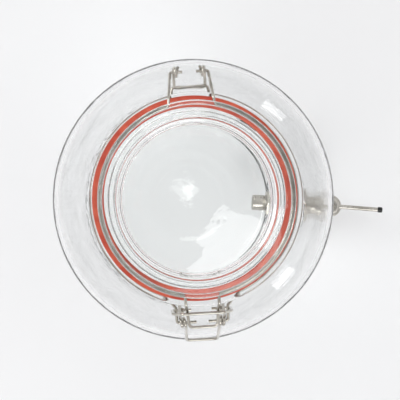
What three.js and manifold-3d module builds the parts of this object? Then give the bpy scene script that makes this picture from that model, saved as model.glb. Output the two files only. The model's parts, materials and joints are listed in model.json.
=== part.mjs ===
// Clip-top glass drinks jar with a wire-bailed lid and a lever tap.
// Millimetres, +Z up. Origin: on the jar's axis, at the level of the surface it stands on.
// The clasp faces -Y, the lid hinge is at +Y and the tap leaves the jar near +X.
import * as THREE from 'three';
import { mergeVertices } from 'three/addons/utils/BufferGeometryUtils.js';
import Module from 'manifold-3d';

// Glass jar
const bodyRadius = 113;
const shoulderLength = 54;
const baseRadius = 86;
const heelRadius = 12;
const jarHeight = 272;
const neckRadius = 75.5;
const neckLength = 32;
const wallThickness = 4.5;
const floorThickness = 6;
const pushUp = 2;
const standingRingWidth = 10;
const footSlope = 20;
const beadOverhang = 6.5;
const beadHeight = 10;
const heelFlare = 10;
const heelRise = 48;
const bellyDrop = 68;
const bellyRise = 24;
const neckFlare = 4.5;
const neckDrop = 24;

// Lid and gasket
const fitGap = 0.3;
const gasketThickness = 3;
const gasketWidth = 9.2;
const spigotPlay = 4;
const gasketPlay = 1.8;
const spigotDepth = 7.6;
const lidLedge = 8;
const lidThickness = 14.4;
const lidWireLift = 6.4;
const lidRimWidth = 16;
const dishDepth = 11;
const paneThickness = 5.5;

// Bent wire
const wireDiameter = 2.4;
const wireGap = 0.35;
const pinPlay = 0.9;

// Rear hinge: half-spans along X, and stand-off from the bead along Y
const hingeStandOff = 15.5;
const hingeDrop = 6;
const crossbarDrop = 6;
const crossbarStandOff = 4;
const crossbarSkew = 0.6;
const crossbarHalf = 13.5;
const rearCoilHalf = 11.9;
const rearPinEnd = 5.3;
const rearLegHalf = 17.3;

// Front clasp: half-spans along X, and stand-off from the bead along Y
const pivotStandOff = 12;
const pivotDrop = 15;
const linkPivotStandOff = 3.5;
const linkPivotDrop = 33;
const barStandOff = 4.5;
const barHalf = 16;
const tongueStandOff = 15;
const tongueDrop = 5;
const tongueFall = 2.4;
const tongueHalf = 10.8;
const tongueLegHalf = 12.7;
const handleClearance = 13.9;
const handleDrop = 60;
const handleHalf = 12.2;
const frontPinEnd = 4.6;
const linkPinEnd = 8;
const armBearing = THREE.MathUtils.degToRad(68);
const weldSink = 0.6;
const rearCoilTurns = 1.25;
const leverCoilTurns = 1.44;
const eyeletTurns = 0.9;

// Tap
const tapHeight = 38;
const tapTurn = THREE.MathUtils.degToRad(-5.8);
const leverSet = THREE.MathUtils.degToRad(-2);
const bossRadius = 19;
const bossProud = 3.28;
const bossDepth = 8;
const shankRadius = 7.9;
const shankBore = 4.5;
const shankTail = 31;
const shankPlay = 0.5;
const borePlay = 0.4;
const sealThickness = 2;
const sealRadius = 13.5;
const washerThickness = 1;
const nutThickness = 5;
const nutCorner = 13.9;
const flangeThickness = 3.5;
const flangeRadius = 14;
const valveStandOff = 28.3;
const housingRadius = 9.5;
const housingTop = 13;
const housingBottom = -14;
const plugRadius = 6;
const plugBottom = -8.7;
const portWall = 0.7;
const spoutLength = 15;
const spoutRadius = 6.5;
const spoutTip = 5.5;
const stemRadius = 3.6;
const stemLength = 7.6;
const bonnetThickness = 3;
const knobRadius = 7.3;
const knobHeight = 8;
const rodRadius = 1.9;
const rodTenon = 1.2;
const leverLength = 45;
const tipLength = 4;
const screwRadius = 1.5;
const screwGrip = 6;
const knobWeb = 1.7;
const sealGroove = 1.6;
const sealBed = 1.9;
const sealInset = 2.2;
const plugShoulder = 0.6;

// Facets
const glassFacets = 48;
const tapFacets = 24;
const wireFacets = 6;
const coilStep = Math.PI / 6;
const bendStep = Math.PI / 6;
const ringStep = Math.PI / 30;

// Places that follow from the sizes
const wireRadius = wireDiameter / 2;
const wirePitch = wireDiameter + wireGap;
const coilRadius = wireDiameter + pinPlay;
const sideBySide = wireDiameter + wireGap;
const beadRadius = neckRadius + beadOverhang;
const mouthRadius = neckRadius - wallThickness;
const neckBottom = jarHeight - neckLength;
const widestHeight = neckBottom - shoulderLength;
const standingRingInner = baseRadius - heelRadius - standingRingWidth;
const panelRadius = standingRingInner - footSlope;
const neckWireHeight = jarHeight - beadHeight - fitGap - wireRadius - 1.5;
const neckWireRadius = neckRadius + wireRadius + 0.7;
const gasketBase = jarHeight + fitGap;
const lidSeat = gasketBase + gasketThickness + fitGap;
const lidTop = lidSeat + lidThickness;
const lidWireHeight = lidSeat + lidWireLift;
const spigotRadius = mouthRadius - spigotPlay;
const lidRadius = spigotRadius + lidLedge;
const dishRadius = lidRadius - lidRimWidth;
const grooveRadius = lidRadius - wireDiameter - wireRadius - fitGap;
const lidWireRadius = grooveRadius + fitGap + wireRadius;
const hingeHeight = jarHeight - hingeDrop;
const hingeReach = beadRadius + hingeStandOff;
const crossbarReach = beadRadius + crossbarStandOff;
const pivotHeight = jarHeight - pivotDrop;
const pivotReach = beadRadius + pivotStandOff;
const linkPivotHeight = jarHeight - linkPivotDrop;
const linkPivotReach = beadRadius + linkPivotStandOff;
const barReach = beadRadius + barStandOff;
const tongueReach = beadRadius + tongueStandOff;
const tongueSeat = lidWireHeight - tongueDrop;
const handleHeight = jarHeight - handleDrop;
const portRadius = plugRadius - sealBed - portWall;

// The jar's side: from the heel up to the belly, then in to the neck
const lowerSide = new THREE.CubicBezierCurve(
  new THREE.Vector2(baseRadius, heelRadius),
  new THREE.Vector2(baseRadius + heelFlare, heelRadius + heelRise),
  new THREE.Vector2(bodyRadius, widestHeight - bellyDrop),
  new THREE.Vector2(bodyRadius, widestHeight),
);
const upperSide = new THREE.CubicBezierCurve(
  new THREE.Vector2(bodyRadius, widestHeight),
  new THREE.Vector2(bodyRadius, widestHeight + bellyRise),
  new THREE.Vector2(neckRadius + neckFlare, neckBottom - neckDrop),
  new THREE.Vector2(neckRadius, neckBottom),
);

// Radius of a side curve at a height, found by halving.
function sideRadius(curve, height) {
  let low = 0;
  let high = 1;
  for (let i = 0; i < 40; i += 1) {
    const middle = (low + high) / 2;
    if (curve.getPoint(middle).y < height) low = middle;
    else high = middle;
  }
  return curve.getPoint(low).x;
}

const handleReach = sideRadius(upperSide, handleHeight) + handleClearance;
const bossOuter = sideRadius(lowerSide, tapHeight) + bossProud;
const bossInner = bossOuter - bossDepth;
const shankStart = bossOuter - shankTail;
const valveReach = bossOuter + valveStandOff;

const wasm = await Module();
wasm.setup();

const glass = { color: 0xe9f0ee, roughness: 0.05, metalness: 0 };
const steel = { color: 0xb9b7b1, roughness: 0.25, metalness: 1 };
const redRubber = { color: 0xd5583f, roughness: 0.6, metalness: 0 };
const silicone = { color: 0xe8e6e0, roughness: 0.55, metalness: 0 };
const blackPlastic = { color: 0x1a1a1a, roughness: 0.45, metalness: 0 };

// A closed geometry as a solid that can be joined and cut.
function toSolid(geometry) {
  const bare = geometry.clone();
  bare.deleteAttribute('normal');
  bare.deleteAttribute('uv');
  const merged = mergeVertices(bare, 1e-4);
  const corners = merged.index.array;
  const kept = [];
  for (let i = 0; i < corners.length; i += 3) {
    const [a, b, c] = corners.slice(i, i + 3);
    if (a !== b && b !== c && c !== a) kept.push(a, b, c);
  }
  const vertProperties = merged.attributes.position.array;
  const triVerts = new Uint32Array(kept);
  return new wasm.Manifold(new wasm.Mesh({ numProp: 3, vertProperties, triVerts }));
}

function makePiece(name, solid, look) {
  const { vertProperties, triVerts } = solid.getMesh();
  const geometry = new THREE.BufferGeometry();
  geometry.setAttribute('position', new THREE.BufferAttribute(vertProperties, 3));
  geometry.setIndex(new THREE.BufferAttribute(triVerts, 1));
  geometry.computeVertexNormals();
  const piece = new THREE.Mesh(geometry, new THREE.MeshStandardMaterial(look));
  piece.name = name;
  return piece;
}

// Profile points are [radius, place along the axis], outer side first.
function turned(profile, facets) {
  const points = profile.map(([radius, along]) => new THREE.Vector2(radius, along));
  return new THREE.LatheGeometry(points, facets);
}

function turnedUp(profile, facets = tapFacets) {
  return toSolid(turned(profile, facets).rotateX(Math.PI / 2));
}

function turnedAcross(profile, facets = tapFacets) {
  return toSolid(turned(profile, facets).rotateZ(-Math.PI / 2));
}

function rodProfile(radius, from, to) {
  return [[0, from], [radius, from], [radius, to], [0, to]];
}

function ringProfile(inner, outer, from, to) {
  return [[inner, from], [outer, from], [outer, to], [inner, to], [inner, from]];
}

// Wire routes are lists of [x, y, z, bend radius]; a bend radius of 0 keeps the point.
function roundBends(corners) {
  const places = corners.map(([x, y, z]) => new THREE.Vector3(x, y, z));
  const points = [];
  corners.forEach(([, , , radius = 0], i) => {
    const here = places[i];
    if (!radius) {
      points.push(here);
      return;
    }
    const back = places[i - 1].clone().sub(here);
    const on = places[i + 1].clone().sub(here);
    const turn = Math.PI - back.angleTo(on);
    const room = 0.48 * Math.min(back.length(), on.length());
    const reach = Math.min(radius * Math.tan(turn / 2), room);
    const start = here.clone().add(back.setLength(reach));
    const end = here.clone().add(on.setLength(reach));
    const bend = new THREE.QuadraticBezierCurve3(start, here, end);
    points.push(...bend.getPoints(Math.max(2, Math.ceil(turn / bendStep))));
  });
  return points;
}

// A path with one step per point, so that straight runs stay single facets.
class WirePath extends THREE.Curve {
  constructor(points) {
    super();
    this.points = points;
  }

  getPoint(t, target = new THREE.Vector3()) {
    const last = this.points.length - 1;
    const index = Math.min(Math.floor(t * last), last - 1);
    return target.lerpVectors(this.points[index], this.points[index + 1], t * last - index);
  }

  getPointAt(u, target) {
    return this.getPoint(u, target);
  }

  getTangentAt(u, target = new THREE.Vector3()) {
    const index = Math.round(u * (this.points.length - 1));
    const here = this.points[index];
    const before = this.points[index - 1] ?? here;
    const after = this.points[index + 1] ?? here;
    const arriving = here.clone().sub(before).normalize();
    const leaving = after.clone().sub(here).normalize();
    return target.copy(arriving).add(leaving).normalize();
  }
}

function bentWire(corners) {
  const points = roundBends(corners);
  const section = new THREE.Shape().absarc(0, 0, wireRadius, 0, 2 * Math.PI);
  const extrudePath = new WirePath(points);
  const steps = points.length - 1;
  const options = { extrudePath, steps, curveSegments: wireFacets / 2, bevelEnabled: false };
  return toSolid(new THREE.ExtrudeGeometry(section, options));
}

function mirrorX(corners) {
  return corners.map(([x, ...rest]) => [-x, ...rest]);
}

function wholeWire(half) {
  return bentWire([...mirrorX(half).reverse(), ...half.slice(1)]);
}

// Points round the jar's axis, from one bearing to another, angles from +X towards +Y.
function ringRun(radius, height, from, to) {
  const count = Math.ceil(Math.abs(to - from) / ringStep);
  return Array.from({ length: count + 1 }, (_, i) => {
    const angle = from + ((to - from) * i) / count;
    return [radius * Math.cos(angle), radius * Math.sin(angle), height];
  });
}

// Turns round a pin that lies along X. Angles go from +Y towards +Z.
function coilRun(centre, from, turn, xFrom, xTo) {
  const count = Math.ceil(Math.abs(turn) / coilStep);
  return Array.from({ length: count + 1 }, (_, i) => {
    const share = i / count;
    const angle = from + turn * share;
    const y = centre.y + coilRadius * Math.cos(angle);
    const z = centre.z + coilRadius * Math.sin(angle);
    return [xFrom + (xTo - xFrom) * share, y, z];
  });
}

// Bearing of the point where a straight run from start meets a coil, with the sense of winding.
function coilEntry(start, centre, sense) {
  const toCentre = Math.atan2(centre.z - start.z, centre.y - start.y);
  const distance = Math.hypot(centre.z - start.z, centre.y - start.y);
  const heading = toCentre - sense * Math.asin(coilRadius / distance);
  return heading - sense * (Math.PI / 2);
}

function glassJar() {
  const side = [...lowerSide.getPoints(7), ...upperSide.getPoints(7).slice(1)];
  const inside = side.map((point, i) => {
    const before = side[Math.max(i - 1, 0)];
    const after = side[Math.min(i + 1, side.length - 1)];
    const along = after.clone().sub(before).normalize();
    return [point.x - along.y * wallThickness, point.y + along.x * wallThickness];
  });
  const heel = new THREE.QuadraticBezierCurve(
    new THREE.Vector2(baseRadius - heelRadius, 0),
    new THREE.Vector2(baseRadius, 0),
    new THREE.Vector2(baseRadius, heelRadius),
  ).getPoints(4);
  const floor = pushUp + floorThickness;
  const beadBase = jarHeight - beadHeight;
  const rimRound = 2;
  const profile = [
    [0, pushUp],
    [panelRadius, pushUp],
    [standingRingInner, 0],
    ...heel.slice(0, -1).map((point) => [point.x, point.y]),
    ...side.map((point) => [point.x, point.y]),
    [neckRadius, beadBase - 1],
    [beadRadius - 2.5, beadBase],
    [beadRadius, beadBase + 3],
    [beadRadius, jarHeight - 3],
    [beadRadius - 3, jarHeight],
    [mouthRadius + rimRound, jarHeight],
    [mouthRadius, jarHeight - rimRound],
    ...inside.reverse(),
    [baseRadius - wallThickness - heelRadius / 4, floor + heelRadius / 8],
    [baseRadius - heelRadius, floor],
    [0, floor],
  ];
  const shell = turnedUp(profile, glassFacets);
  const boss = turnedAcross(rodProfile(bossRadius, bossInner, bossOuter), 2 * tapFacets);
  const outerFace = turnedAcross(rodProfile(bossRadius + 1, bossOuter, bossOuter + 12), 2 * tapFacets);
  const innerFace = turnedAcross(rodProfile(bossRadius + 1, bossInner - 12, bossInner), 2 * tapFacets);
  const bore = turnedAcross(rodProfile(shankRadius + shankPlay, bossInner - 20, bossOuter + 20));
  const bossPlace = (solid) => solid.translate([0, 0, tapHeight]);
  const turnDegrees = THREE.MathUtils.radToDeg(tapTurn);
  return shell
    .rotate([0, 0, -turnDegrees])
    .add(bossPlace(boss))
    .subtract(bossPlace(outerFace))
    .subtract(bossPlace(innerFace))
    .subtract(bossPlace(bore))
    .rotate([0, 0, turnDegrees]);
}

function lidGasket() {
  const inner = spigotRadius + gasketPlay;
  const outer = inner + gasketWidth;
  const round = 0.8;
  const top = gasketBase + gasketThickness;
  return turnedUp([
    [inner, gasketBase],
    [outer - round, gasketBase],
    [outer, gasketBase + round],
    [outer, top - round],
    [outer - round, top],
    [inner, top],
    [inner, gasketBase],
  ], glassFacets);
}

function glassLid() {
  const grooveHalf = wireRadius + 0.5;
  const dishFloor = lidTop - dishDepth;
  const underside = dishFloor - paneThickness;
  const spigotBase = lidSeat - spigotDepth;
  return turnedUp([
    [0, underside],
    [dishRadius - 2, underside],
    [dishRadius + 3, spigotBase],
    [spigotRadius - 1.5, spigotBase],
    [spigotRadius, spigotBase + 1.5],
    [spigotRadius, lidSeat],
    [lidRadius - 1, lidSeat],
    [lidRadius, lidSeat + 1],
    [lidRadius, lidWireHeight - grooveHalf],
    [grooveRadius, lidWireHeight - grooveHalf],
    [grooveRadius, lidWireHeight + grooveHalf],
    [lidRadius, lidWireHeight + grooveHalf],
    [lidRadius, lidTop - 3.5],
    [lidRadius - 1.2, lidTop - 1.2],
    [lidRadius - 3.5, lidTop],
    [dishRadius + 5, lidTop],
    [dishRadius + 2, lidTop - 1.5],
    [dishRadius, dishFloor + 3],
    [dishRadius - 3, dishFloor],
    [0, dishFloor],
  ], glassFacets);
}

// One wire: pins behind, a ring in the lid's groove, and a tongue in front.
function lidWire() {
  const rear = Math.acos(rearLegHalf / lidWireRadius);
  const front = -Math.acos(tongueLegHalf / lidWireRadius);
  const ring = ringRun(lidWireRadius, lidWireHeight, front, rear);
  const [frontX, frontY] = ring[0];
  const [rearX, rearY] = ring[ring.length - 1];
  const pinLegHalf = rearCoilHalf + sideBySide;
  return wholeWire([
    [0, -tongueReach, tongueSeat - tongueFall],
    [tongueHalf, -tongueReach, tongueSeat - tongueFall, 4],
    [tongueHalf + 0.9, -barReach + 2, tongueSeat, 3],
    [tongueLegHalf, -lidRadius - 4, lidWireHeight, 4],
    [frontX, frontY, lidWireHeight, 4],
    ...ring.slice(1, -1),
    [rearX, rearY, lidWireHeight, 4],
    [rearLegHalf - 0.4, lidRadius + 2, lidWireHeight, 4],
    [pinLegHalf, hingeReach, hingeHeight, 2],
    [rearPinEnd, hingeReach, hingeHeight],
  ]);
}

// One half of the neck wire, from its clasp pin round the neck to the coil on the other side.
function neckWireHalf(side) {
  const rear = Math.acos((crossbarHalf + 2) / neckWireRadius);
  const armHalf = frontArmHalf();
  const barHeight = hingeHeight - crossbarDrop + (side * (wireDiameter - weldSink)) / 2;
  const coil = { y: hingeReach, z: hingeHeight };
  const riserStart = { y: crossbarReach - crossbarSkew, z: barHeight };
  const entry = coilEntry(riserStart, coil, 1);
  const turns = 2 * Math.PI * rearCoilTurns;
  const ring = ringRun(neckWireRadius, neckWireHeight, -armBearing, rear);
  const corners = [
    [frontPinEnd, -pivotReach, pivotHeight],
    [armHalf, -pivotReach, pivotHeight, 2],
    [armHalf, -beadRadius - 0.6, neckWireHeight, 4],
    ...ring.slice(0, -1),
    [...ring[ring.length - 1], 3],
    [crossbarHalf, crossbarReach + crossbarSkew, barHeight, 3],
    [-rearCoilHalf, riserStart.y, barHeight, 2.5],
    ...coilRun(coil, entry, turns, -rearCoilHalf, -rearCoilHalf + rearCoilTurns * wirePitch),
  ];
  return bentWire(corners.map(([x, ...rest]) => [side * x, ...rest]));
}

function neckWire() {
  return neckWireHalf(1).add(neckWireHalf(-1));
}

// The clasp lever's coil starts at the handle leg and ends at the short arm.
const leverCoilStart = handleHalf + 0.8;
const leverArmHalf = leverCoilStart + leverCoilTurns * wirePitch;

// The neck wire's arms stand just outside the lever's coils, and the link outside the arms.
function frontArmHalf() {
  return leverArmHalf + sideBySide;
}

function claspLever() {
  const pivot = { y: -pivotReach, z: pivotHeight };
  const linkPivot = { y: -linkPivotReach, z: linkPivotHeight };
  const handle = { y: -handleReach, z: handleHeight };
  const entry = coilEntry(handle, pivot, -1);
  const armHeading = Math.atan2(linkPivot.z - pivot.z, linkPivot.y - pivot.y);
  const exit = armHeading + Math.PI / 2;
  const wind = -(((entry - exit) % (2 * Math.PI)) + 2 * Math.PI);
  const eyeletTurn = -2 * Math.PI * eyeletTurns;
  return wholeWire([
    [0, handle.y, handle.z],
    [handleHalf, handle.y, handle.z, 3.5],
    ...coilRun(pivot, entry, wind, leverCoilStart, leverArmHalf),
    ...coilRun(linkPivot, exit, eyeletTurn, leverArmHalf, leverArmHalf - eyeletTurns * wirePitch),
  ]);
}

function claspLink() {
  const legHalf = frontArmHalf() + sideBySide;
  const barHeight = tongueSeat + wirePitch - tongueFall / 6;
  return wholeWire([
    [0, -barReach, barHeight],
    [barHalf, -barReach, barHeight, 3],
    [legHalf, -barReach, barHeight - 14, 6],
    [legHalf, -linkPivotReach, linkPivotHeight, 2],
    [linkPinEnd, -linkPivotReach, linkPivotHeight],
  ]);
}

const boreRadius = shankRadius + borePlay;
const outerSealStart = bossOuter + fitGap;
const flangeStart = outerSealStart + sealThickness + fitGap;
const flangeEnd = flangeStart + flangeThickness;
const innerSealEnd = bossInner - fitGap;
const washerEnd = innerSealEnd - sealThickness - fitGap;
const nutEnd = washerEnd - washerThickness - fitGap;
const stemTop = housingTop - plugShoulder + stemLength;
const knobBase = housingTop + fitGap + bonnetThickness + fitGap;
const knobTop = knobBase + knobHeight;
const webBase = stemTop + fitGap;
const webTop = webBase + knobWeb;
const leverLine = (knobBase + knobTop) / 2;

function atValve(solid) {
  return solid.translate([valveReach, 0, 0]);
}

function tapBody() {
  const barrel = turnedAcross([
    [0, shankStart],
    [shankRadius - 0.8, shankStart],
    [shankRadius, shankStart + 0.8],
    [shankRadius, flangeStart],
    [flangeRadius, flangeStart],
    [flangeRadius, flangeEnd - 1],
    [flangeRadius - 1, flangeEnd],
    [shankRadius + 1.2, flangeEnd + 1.5],
    [shankRadius - 0.4, flangeEnd + 8],
    [shankRadius - 0.4, valveReach],
    [0, valveReach],
  ]);
  const housing = turnedUp([
    [0, housingBottom - spoutLength],
    [spoutTip, housingBottom - spoutLength],
    [spoutRadius, housingBottom - 1],
    [housingRadius - 1, housingBottom],
    [housingRadius, housingBottom + 1],
    [housingRadius, housingTop],
    [0, housingTop],
  ]);
  const waterway = turnedAcross(rodProfile(shankBore, shankStart - 5, valveReach));
  const seat = turnedUp(rodProfile(plugRadius + fitGap, plugBottom - fitGap, housingTop + 5));
  const outlet = turnedUp(rodProfile(shankBore - 0.5, housingBottom - spoutLength - 5, 0));
  return barrel.add(atValve(housing)).subtract(waterway).subtract(atValve(seat)).subtract(atValve(outlet));
}

function lockNut() {
  const blank = turnedAcross(rodProfile(nutCorner, nutEnd - nutThickness, nutEnd), 6);
  return blank.subtract(turnedAcross(rodProfile(boreRadius, nutEnd - nutThickness - 1, nutEnd + 1)));
}

const sealLow = plugBottom + sealInset;
const sealHigh = housingTop - 3.4;

function sealGrooveCut(height) {
  const outer = plugRadius + 1;
  const half = sealGroove / 2;
  return turnedUp(ringProfile(plugRadius - sealBed, outer, height - half, height + half));
}

// Rises through the housing; its port runs in from the side and out below.
function valvePlug() {
  const shoulder = housingTop - plugShoulder;
  const blank = turnedUp([
    [0, plugBottom],
    [plugRadius, plugBottom],
    [plugRadius, shoulder],
    [stemRadius, shoulder],
    [stemRadius, stemTop],
    [0, stemTop],
  ]);
  const sidePort = toSolid(new THREE.CylinderGeometry(portRadius, portRadius, 2 * plugRadius, tapFacets));
  const downPort = turnedUp(rodProfile(portRadius, plugBottom - 2, 0));
  const screwHole = turnedUp(rodProfile(screwRadius + fitGap, stemTop - screwGrip - fitGap, stemTop + 2));
  return blank
    .subtract(sidePort.translate([0, plugRadius, 0]))
    .subtract(downPort)
    .subtract(screwHole)
    .subtract(sealGrooveCut(sealLow))
    .subtract(sealGrooveCut(sealHigh));
}

function plugSeal(height) {
  const section = (sealBed - fitGap) / 2;
  const middle = plugRadius - section;
  const half = Math.min(section, sealGroove / 2 - 0.25);
  const profile = Array.from({ length: 7 }, (_, i) => {
    const angle = -Math.PI / 2 + (i * Math.PI) / 3;
    return [middle + section * Math.cos(angle), height + half * Math.sin(angle)];
  });
  return turnedUp(profile);
}

function tapBonnet() {
  const base = housingTop + fitGap;
  const inner = stemRadius + fitGap;
  return turnedUp([
    [inner, base],
    [housingRadius, base],
    [housingRadius, base + bonnetThickness - 1],
    [housingRadius - 1, base + bonnetThickness],
    [inner, base + bonnetThickness],
    [inner, base],
  ]);
}

function tapKnob() {
  const blank = turnedUp([
    [0, knobBase],
    [knobRadius, knobBase],
    [knobRadius, knobTop - 1.5],
    [knobRadius - 1.5, knobTop],
    [0, knobTop],
  ]);
  const socket = turnedUp(rodProfile(stemRadius + fitGap, knobBase - 1, webBase));
  const screwHole = turnedUp(rodProfile(screwRadius + fitGap, knobBase, knobTop + 1));
  const screwSink = turnedUp(rodProfile(2 * screwRadius + fitGap, webTop, knobTop + 1));
  const rodHole = turnedAcross(rodProfile(rodRadius + fitGap, rodStart - fitGap, knobRadius + 2));
  return blank
    .subtract(socket)
    .subtract(screwHole)
    .subtract(screwSink)
    .subtract(rodHole.translate([0, 0, leverLine]));
}

function knobScrew() {
  return turnedUp([
    [0, stemTop - screwGrip],
    [screwRadius, stemTop - screwGrip],
    [screwRadius, webTop + fitGap],
    [2 * screwRadius, webTop + fitGap],
    [2 * screwRadius, webTop + 1.6],
    [0, webTop + 2],
  ]);
}

const rodStart = stemRadius + 1.3;
const tipStart = leverLength - tipLength;
const tenonEnd = leverLength - 1.6;

function leverRod() {
  return turnedAcross([
    [0, rodStart],
    [rodRadius, rodStart],
    [rodRadius, tipStart - fitGap],
    [rodTenon, tipStart - fitGap],
    [rodTenon, tenonEnd],
    [0, tenonEnd],
  ], 12).translate([0, 0, leverLine]);
}

function leverTip() {
  const end = leverLength;
  return turnedAcross([
    [0, tenonEnd + fitGap],
    [rodTenon + fitGap, tenonEnd + fitGap],
    [rodTenon + fitGap, tipStart],
    [rodRadius + 0.5, tipStart],
    [rodRadius + 0.5, end - 0.8],
    [rodRadius - 0.3, end],
    [0, end],
  ], 12).translate([0, 0, leverLine]);
}

function tapFittings() {
  const fittings = new THREE.Group();
  const seal = (start) => turnedAcross(ringProfile(boreRadius, sealRadius, start, start + sealThickness));
  const washer = ringProfile(boreRadius, sealRadius - 1, washerEnd - washerThickness, washerEnd);
  fittings.add(
    makePiece('tap_body', tapBody(), steel),
    makePiece('tap_outer_seal', seal(outerSealStart), silicone),
    makePiece('tap_inner_seal', seal(innerSealEnd - sealThickness), silicone),
    makePiece('tap_inner_washer', turnedAcross(washer), steel),
    makePiece('tap_lock_nut', lockNut(), steel),
  );
  const valve = new THREE.Group();
  valve.add(
    makePiece('tap_bonnet', tapBonnet(), steel),
    makePiece('valve_plug', valvePlug(), steel),
    makePiece('plug_seal_lower', plugSeal(sealLow), silicone),
    makePiece('plug_seal_upper', plugSeal(sealHigh), silicone),
    makePiece('tap_knob', tapKnob(), steel),
    makePiece('knob_screw', knobScrew(), steel),
    makePiece('lever_rod', leverRod(), steel),
    makePiece('lever_tip', leverTip(), blackPlastic),
  );
  valve.position.x = valveReach;
  valve.rotation.z = leverSet;
  fittings.add(valve);
  fittings.position.z = tapHeight;
  fittings.rotation.z = tapTurn;
  return fittings;
}

const group = new THREE.Group();
group.add(
  makePiece('glass_jar', glassJar(), glass),
  makePiece('neck_wire', neckWire(), steel),
  makePiece('glass_lid', glassLid(), glass),
  makePiece('lid_gasket', lidGasket(), redRubber),
  makePiece('lid_wire', lidWire(), steel),
  makePiece('clasp_lever', claspLever(), steel),
  makePiece('clasp_link', claspLink(), steel),
  tapFittings(),
);

export default group;
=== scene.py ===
import json
import math
import bmesh
import bpy
from mathutils import Matrix, Vector
from mathutils.geometry import interpolate_bezier


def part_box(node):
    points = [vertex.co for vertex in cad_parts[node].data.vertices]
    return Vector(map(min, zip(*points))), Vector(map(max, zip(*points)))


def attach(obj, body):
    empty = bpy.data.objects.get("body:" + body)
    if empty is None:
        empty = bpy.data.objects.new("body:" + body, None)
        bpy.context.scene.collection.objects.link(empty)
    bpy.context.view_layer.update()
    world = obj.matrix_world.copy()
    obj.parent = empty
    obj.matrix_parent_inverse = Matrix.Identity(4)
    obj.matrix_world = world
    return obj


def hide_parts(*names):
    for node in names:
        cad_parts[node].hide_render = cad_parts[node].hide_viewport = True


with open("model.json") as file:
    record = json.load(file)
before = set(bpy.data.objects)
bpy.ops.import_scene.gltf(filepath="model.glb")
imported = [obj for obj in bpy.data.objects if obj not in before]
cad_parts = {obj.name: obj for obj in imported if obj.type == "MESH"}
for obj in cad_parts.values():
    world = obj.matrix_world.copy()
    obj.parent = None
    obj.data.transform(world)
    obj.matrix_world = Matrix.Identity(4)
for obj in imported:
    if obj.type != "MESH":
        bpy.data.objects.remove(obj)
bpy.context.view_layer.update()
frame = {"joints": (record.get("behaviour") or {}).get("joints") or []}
print("frame loaded")

mm = 0.001
fullTurn = 2 * math.pi
jointAt = {joint["name"]: Vector(joint["pos_m"]) / mm for joint in frame["joints"]}


def boxMm(node):
    low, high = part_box(node)
    return low / mm, high / mm


# sRGB hex to a linear colour with alpha
def linear(hexColour):
    channels = [int(hexColour[i:i + 2], 16) / 255 for i in (1, 3, 5)]
    return [c / 12.92 if c <= 0.04045 else ((c + 0.055) / 1.055) ** 2.4 for c in channels] + [1.0]


def addNode(tree, kind, settings=None, links=None):
    made = tree.nodes.new(kind)
    for key, value in (settings or {}).items():
        if isinstance(key, int) or key in made.inputs:
            made.inputs[key].default_value = value
        else:
            setattr(made, key, value)
    for key, source in (links or {}).items():
        tree.links.new(source, made.inputs[key])
    return made


def rampNode(tree, stops, value):
    ramp = addNode(tree, "ShaderNodeValToRGB", None, {"Fac": value})
    elements = ramp.color_ramp.elements
    while len(elements) < len(stops):
        elements.new(0.5)
    for element, (position, hexColour) in zip(elements, stops):
        element.position = position
        element.color = linear(hexColour)
    return ramp


def newMaterial(name):
    material = bpy.data.materials.new(name)
    material.use_nodes = True
    material.node_tree.nodes.clear()
    return material, material.node_tree


# Corners are lists of two or three numbers in mm, with a bend radius last; 0 keeps the corner.
def roundBends(corners, step=math.radians(12)):
    places = [Vector(corner[:-1]) for corner in corners]
    points = []
    for i, corner in enumerate(corners):
        here = places[i]
        if not corner[-1]:
            points.append(here)
            continue
        back = places[i - 1] - here
        on = places[i + 1] - here
        turn = math.pi - back.angle(on)
        reach = min(corner[-1] * math.tan(turn / 2), 0.48 * back.length, 0.48 * on.length)
        start = here + back.normalized() * reach
        end = here + on.normalized() * reach
        count = max(2, math.ceil(turn / step))
        for k in range(count + 1):
            t = k / count
            points.append(start * (1 - t) ** 2 + here * 2 * t * (1 - t) + end * t ** 2)
    return points


def bezierRun(start, startHandle, endHandle, end, count):
    return interpolate_bezier(Vector(start), Vector(startHandle), Vector(endHandle), Vector(end), count)


# Turns a profile of [radius, place along the axis] into a closed body. Runs up Z, or out along X.
def turnedBody(profile, steps=96, axis="Z"):
    bm = bmesh.new()
    verts = [bm.verts.new((point[0] * mm, 0, point[1] * mm)) for point in profile]
    pairs = list(zip(verts, verts[1:]))
    if profile[0][0] > 1e-6:
        pairs.append((verts[-1], verts[0]))
    edges = [bm.edges.new(pair) for pair in pairs]
    bmesh.ops.spin(bm, geom=verts + edges, cent=(0, 0, 0), axis=(0, 0, 1), angle=fullTurn,
                   steps=steps, use_merge=True)
    tidyFaces(bm)
    if axis == "X":
        bmesh.ops.rotate(bm, verts=bm.verts, cent=(0, 0, 0), matrix=Matrix.Rotation(math.pi / 2, 3, "Y"))
    return bm


def tidyFaces(bm):
    bmesh.ops.remove_doubles(bm, verts=bm.verts, dist=1e-6)
    bmesh.ops.recalc_face_normals(bm, faces=bm.faces)


def rodProfile(radius, start, end):
    return [(0, start), (radius, start), (radius, end), (0, end)]


def ringProfile(inner, outer, start, end, bend):
    middle = (inner + outer) / 2
    corners = [
        (middle, start, 0), (outer, start, bend), (outer, end, bend),
        (inner, end, bend), (inner, start, bend), (middle, start, 0),
    ]
    return [tuple(point) for point in roundBends(corners, math.radians(20))][:-1]


def makeObject(name, bm):
    mesh = bpy.data.meshes.new(name)
    bm.to_mesh(mesh)
    bm.free()
    made = bpy.data.objects.new(name, mesh)
    bpy.context.scene.collection.objects.link(made)
    return made


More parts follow.
